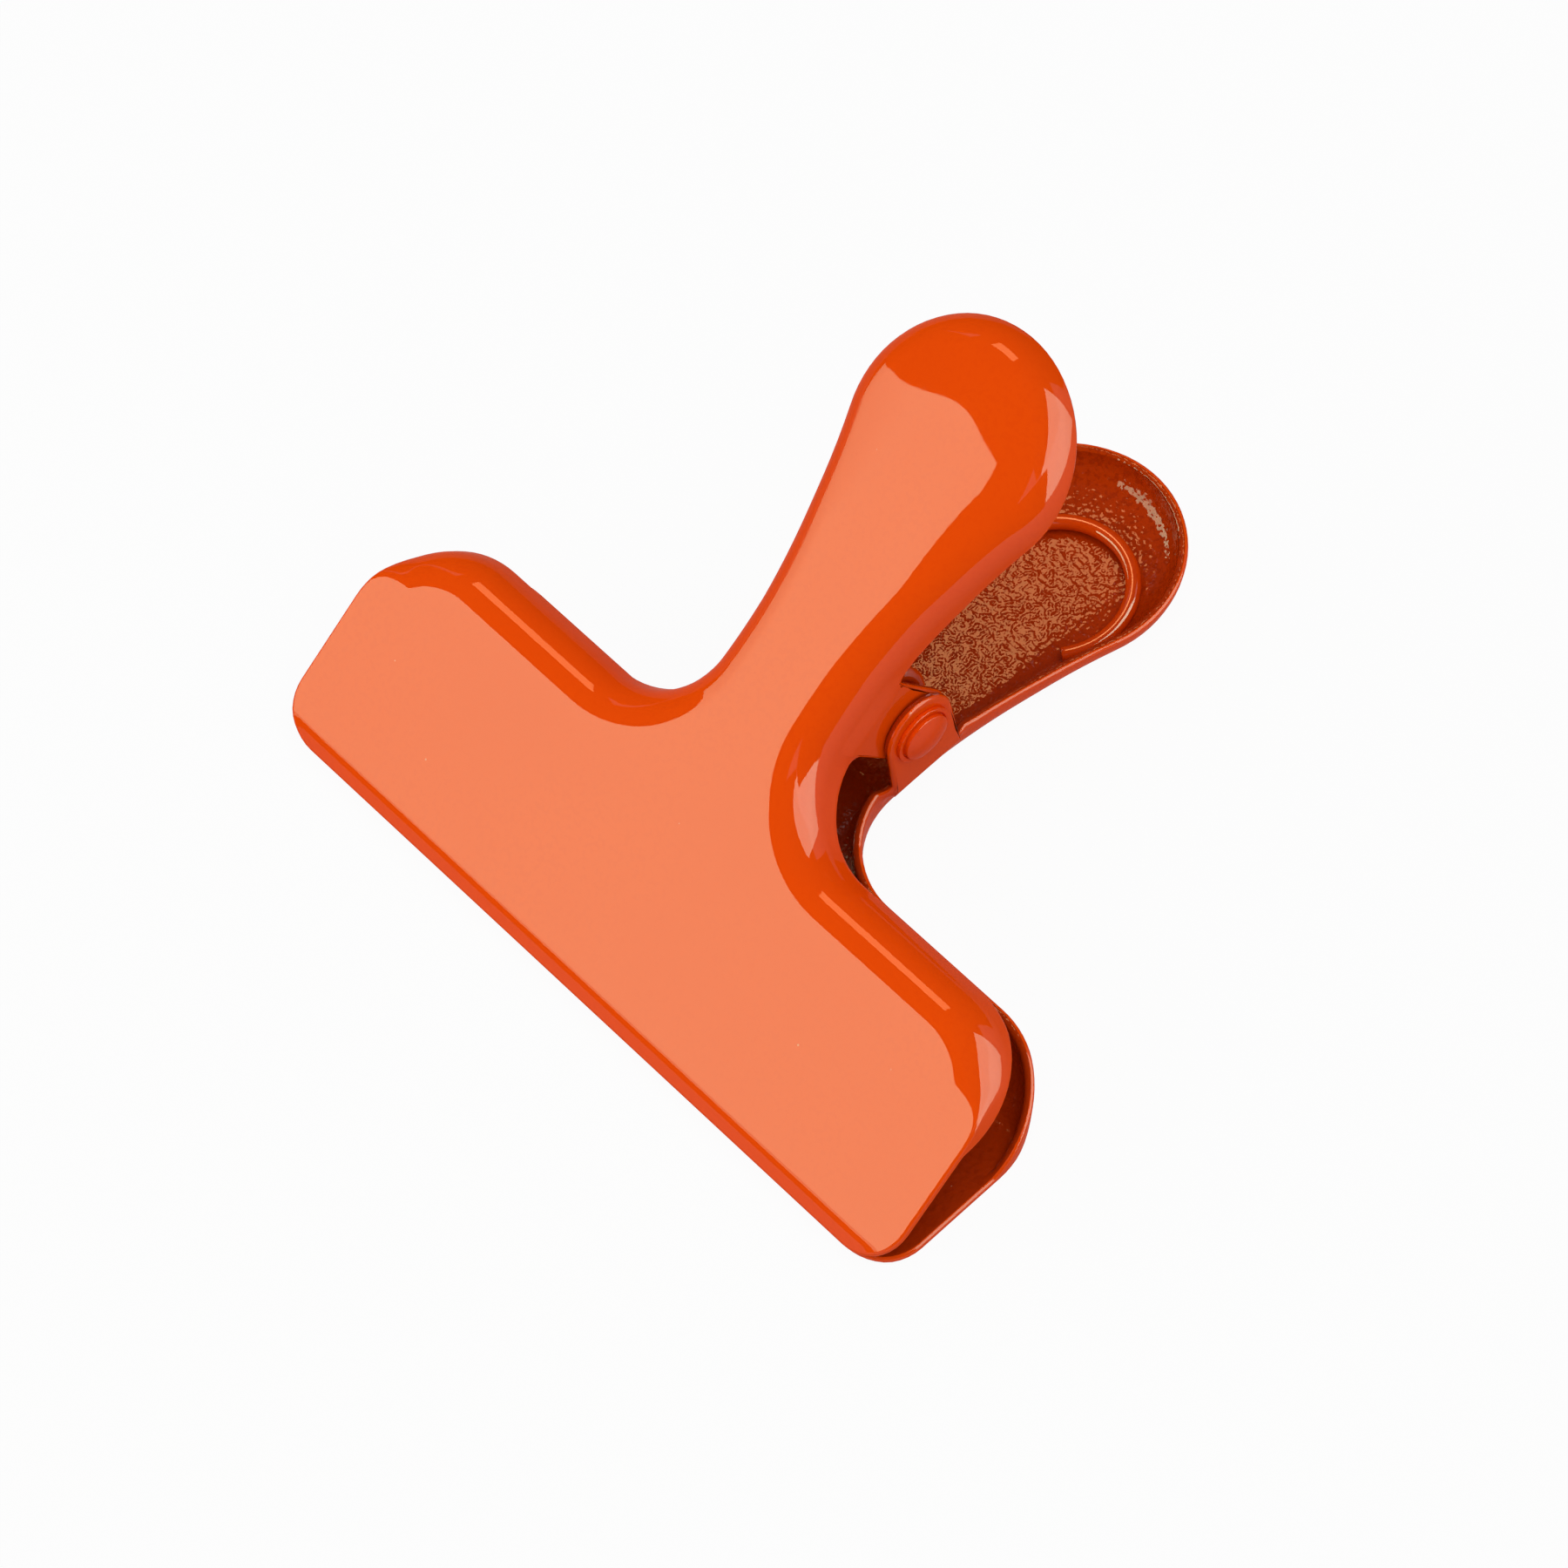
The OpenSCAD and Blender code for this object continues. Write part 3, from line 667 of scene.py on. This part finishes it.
def legPath():  # the rear leg from the pivot: x, along the handle, up
    slope, bend, lead = spring["legSlope"], spring["legBend"], spring["lead"]
    radius, (hookX, hookY) = spring["hookRadius"], spring["hookAt"]
    x = -spring["coilEnd"]
    start = (x, lead * cosd(slope) - spring["coil"] * sind(slope),
             -lead * sind(slope) - spring["coil"] * cosd(slope))
    bendEnd = spring["legReach"] + bend * tand(slope / 2)

    def onBend(turn):
        return (x, bendEnd - bend * sind(turn), -legDrop + bend * (1 - cosd(turn)))

    steps = spring["slopeSteps"]
    path = [tuple(a + (b - a) * k / steps for a, b in zip(start, onBend(slope)))
            for k in range(steps)]
    steps = spring["bendSteps"]
    path += [onBend(slope * (1 - k / steps)) for k in range(steps + 1)]
    steps = spring["hookSteps"]
    for k in range(1, steps + 1):
        turn = 180 - spring["hookTurn"] * k / steps
        px = hookX + radius * cosd(turn)
        rise = spring["hookRise"] * smoothStep(px, *spring["hookRiseFrom"])
        path.append((px, hookY + radius * sind(turn), -legDrop + rise))
    return path


def rearLeg(p):
    return (p[0], p[1], p[2] + clip["pivotIn"])


def frontLeg(p):
    return aboutPivot(-p[0], p[1], -p[2], 2 * clip["halfAngle"])


for name, node, place, body in (
        ("springRearLeg", "spring_rear_leg", rearLeg, "rear_half"),
        ("springFrontLeg", "spring_front_leg", frontLeg, "front_half")):
    path = [Vector(place(p)) for p in legPath()]
    points, faces = tube(path, path[1] - path[0], path[-1] - path[-2])
    makePiece(name, points, faces, node, [shadedSpringLacquer], body)
print("spring made")

studio = {  # metres; lens and sensor in millimetres
    "camera": (0.271087, -0.169022, 0.549844), "target": (0.0014062, -0.010006, 0.0075225),
    "up": (-0.59601, 0.63036, 0.49741), "lens": 174.168, "sensor": 36, "clip": (0.01, 20),
    "worldLight": 0.33,    # the world's light on the pieces
    "floorWhite": 0.95,    # share of the floor that shows as plain white
    "floorGrey": 0.62, "floorRoughness": 0.9, "floorSpecular": 0.1,
    "floorReach": 3.0, "floorLevel": -2e-5,
    "blackGlow": 0.05,     # what the dark boards still give off
}
white = (1, 1, 1, 1)


def aimed(position, target, up):
    back = (Vector(position) - Vector(target)).normalized()
    right = Vector(up).cross(back).normalized()
    turn = Matrix((right, back.cross(right), back)).transposed().to_4x4()
    return Matrix.Translation(position) @ turn


def studioSheet(name, w, h, level, material):
    mesh = bpy.data.meshes.new(name)
    corners = [(-w, -h, level), (w, -h, level), (w, h, level), (-w, h, level)]
    mesh.from_pydata(corners, [], [(0, 1, 2, 3)])
    mesh.materials.append(material)
    piece = bpy.data.objects.new(name, mesh)
    bpy.context.scene.collection.objects.link(piece)
    return piece


def seenDirectly(nodes, links):  # 1 for camera, glossy and transmission rays
    path = nodes.new("ShaderNodeLightPath")
    total = path.outputs["Is Camera Ray"]
    for name in ("Is Glossy Ray", "Is Transmission Ray"):
        either = nodes.new("ShaderNodeMath")
        either.operation = "MAXIMUM"
        links.new(total, either.inputs[0])
        links.new(path.outputs[name], either.inputs[1])
        total = either.outputs[0]
    return total


world = bpy.data.worlds.new("whiteTent")
bpy.context.scene.world = world
world.use_nodes = True
nodes, links = world.node_tree.nodes, world.node_tree.links
strength = nodes.new("ShaderNodeMapRange")
strength.inputs["To Min"].default_value = studio["worldLight"]
strength.inputs["To Max"].default_value = 1.0
links.new(seenDirectly(nodes, links), strength.inputs["Value"])
nodes["Background"].inputs["Color"].default_value = white
links.new(strength.outputs["Result"], nodes["Background"].inputs["Strength"])

paper = bpy.data.materials.new("paleFloor")
paper.use_nodes = True
nodes, links = paper.node_tree.nodes, paper.node_tree.links
shader = nodes["Principled BSDF"]
shader.inputs["Base Color"].default_value = (*[studio["floorGrey"]] * 3, 1)
shader.inputs["Roughness"].default_value = studio["floorRoughness"]
shader.inputs["Specular IOR Level"].default_value = studio["floorSpecular"]
glow = nodes.new("ShaderNodeEmission")
glow.inputs["Color"].default_value = white
mixed = nodes.new("ShaderNodeMixShader")
share = nodes.new("ShaderNodeMath")
share.operation = "MULTIPLY"
share.inputs[1].default_value = studio["floorWhite"]
links.new(seenDirectly(nodes, links), share.inputs[0])
links.new(share.outputs[0], mixed.inputs[0])
links.new(shader.outputs[0], mixed.inputs[1])
links.new(glow.outputs[0], mixed.inputs[2])
links.new(mixed.outputs[0], nodes["Material Output"].inputs["Surface"])
studioSheet("floor", studio["floorReach"], studio["floorReach"], studio["floorLevel"], paper)

# Lamps and dark boards are flat cards that face the clip's middle. Their edges are given as
# tangents of the angle from the line to the middle, across and along. A card without a way of its
# own stands on the line along which the front plate mirrors the camera.
mirrorLine = {"way": (-0.430, -0.706, 0.562), "up": (-0.123, 0.664, 0.738)}
middle = Vector((0, -0.005, 0.012))


def placedCard(card):  # matrix, width and height of a card from its edges
    far = card["distance"]
    way = Vector(card.get("way", mirrorLine["way"])).normalized()
    base = aimed(middle + way * far, middle, card.get("up", mirrorLine["up"]))
    (left, right), (low, high) = card["across"], card["along"]
    shift = Matrix.Translation(((left + right) / 2 * far, (low + high) / 2 * far, 0))
    return base @ shift, (right - left) * far, (high - low) * far


lamps = {  # "lights" False: only reflections see it; "mirrored" False: it only lights
    "windowBox": {"across": (-1.1, 0.25), "along": (-0.15, 0.15), "distance": 0.9,
                  "radiance": 7.0, "colour": (0.82, 0.97, 0.60), "lights": False},
    "windowFoot": {"across": (-1.1, 0.25), "along": (-0.23, -0.15), "distance": 0.9,
                   "radiance": 4.0, "colour": (0.82, 0.97, 0.60), "lights": False},
    "windowFill": {"across": (-1.1, 0.25), "along": (-0.23, 0.15), "distance": 0.91,
                   "radiance": 2.6, "colour": (1.0, 0.98, 0.96), "mirrored": False},
    "sideBox": {"way": (0.72, 0.60, 0.35), "up": (0, 0, 1),
                "across": (-1.0, 0.45), "along": (-0.36, 0.85), "distance": 1.0,
                "radiance": 6.8, "colour": (0.85, 0.97, 0.72), "lights": False},
    "topBox": {"way": (-0.43, 0.27, 0.86), "up": (0, 1, 0),
               "across": (-0.13, 0.13), "along": (-0.13, 0.13), "distance": 1.1,
               "radiance": 9.0, "colour": (1.0, 0.48, 0.19), "lights": False},
    "overhead": {"way": (0.25, 0.10, 0.95), "up": (0, 1, 0),
                 "across": (-0.5, 0.5), "along": (-0.5, 0.5), "distance": 1.2,
                 "radiance": 1.9, "colour": (1.0, 1.0, 1.0), "mirrored": False},
    "rightFill": {"way": (0.80, -0.52, 0.30), "up": (0, 0, 1),
                  "across": (-0.28, 0.28), "along": (-0.22, 0.25), "distance": 1.1,
                  "radiance": 1.5, "colour": (1.0, 0.98, 0.96), "mirrored": False},
}
for name, lamp in lamps.items():
    light = bpy.data.lights.new(name, "AREA")
    light.shape = "RECTANGLE"
    holder = bpy.data.objects.new(name, light)
    bpy.context.scene.collection.objects.link(holder)
    holder.matrix_world, light.size, light.size_y = placedCard(lamp)
    light.energy = lamp["radiance"] * math.pi * light.size * light.size_y
    light.color = lamp["colour"]
    holder.visible_glossy = lamp.get("mirrored", True)
    holder.visible_diffuse = lamp.get("lights", True)

darkBoards = {  # black flags round the lamps, which only reflections see
    "mirrorBoard": {"across": (-2.6, 1.3), "along": (-0.5, 1.0), "distance": 1.05},
    "roofBoard": {"way": (0, 0.001, 1), "up": (0, 1, 0),
                  "across": (-1.0, 1.0), "along": (-0.5, 1.3), "distance": 1.25},
    "rightBoard": {"way": (0.91, -0.42, 0), "up": (0, 0, 1),
                   "across": (-1.0, 0.45), "along": (-0.03, 0.9), "distance": 0.35},
    "backBoard": {"way": (-0.48, 0.88, 0), "up": (0, 0, 1),
                  "across": (-0.8, 1.2), "along": (-0.03, 1.2), "distance": 0.35},
}
black = bpy.data.materials.new("blackBoard")
black.use_nodes = True
nodes, links = black.node_tree.nodes, black.node_tree.links
nodes.remove(nodes["Principled BSDF"])
dim = nodes.new("ShaderNodeEmission")
dim.inputs["Color"].default_value = white
dim.inputs["Strength"].default_value = studio["blackGlow"]
links.new(dim.outputs[0], nodes["Material Output"].inputs["Surface"])
for name, card in darkBoards.items():
    turn, width, height = placedCard(card)
    board = studioSheet(name, width / 2, height / 2, 0, black)
    board.matrix_world = turn
    board.visible_camera = False
    board.visible_diffuse = False
    board.visible_shadow = False

lens = bpy.data.cameras.new("camera")
lens.lens, lens.sensor_width = studio["lens"], studio["sensor"]
lens.clip_start, lens.clip_end = studio["clip"]
camera = bpy.data.objects.new("camera", lens)
bpy.context.scene.collection.objects.link(camera)
camera.matrix_world = aimed(studio["camera"], studio["target"], studio["up"])
bpy.context.scene.camera = camera
bpy.context.scene.view_settings.view_transform = "Standard"
print("studio made")
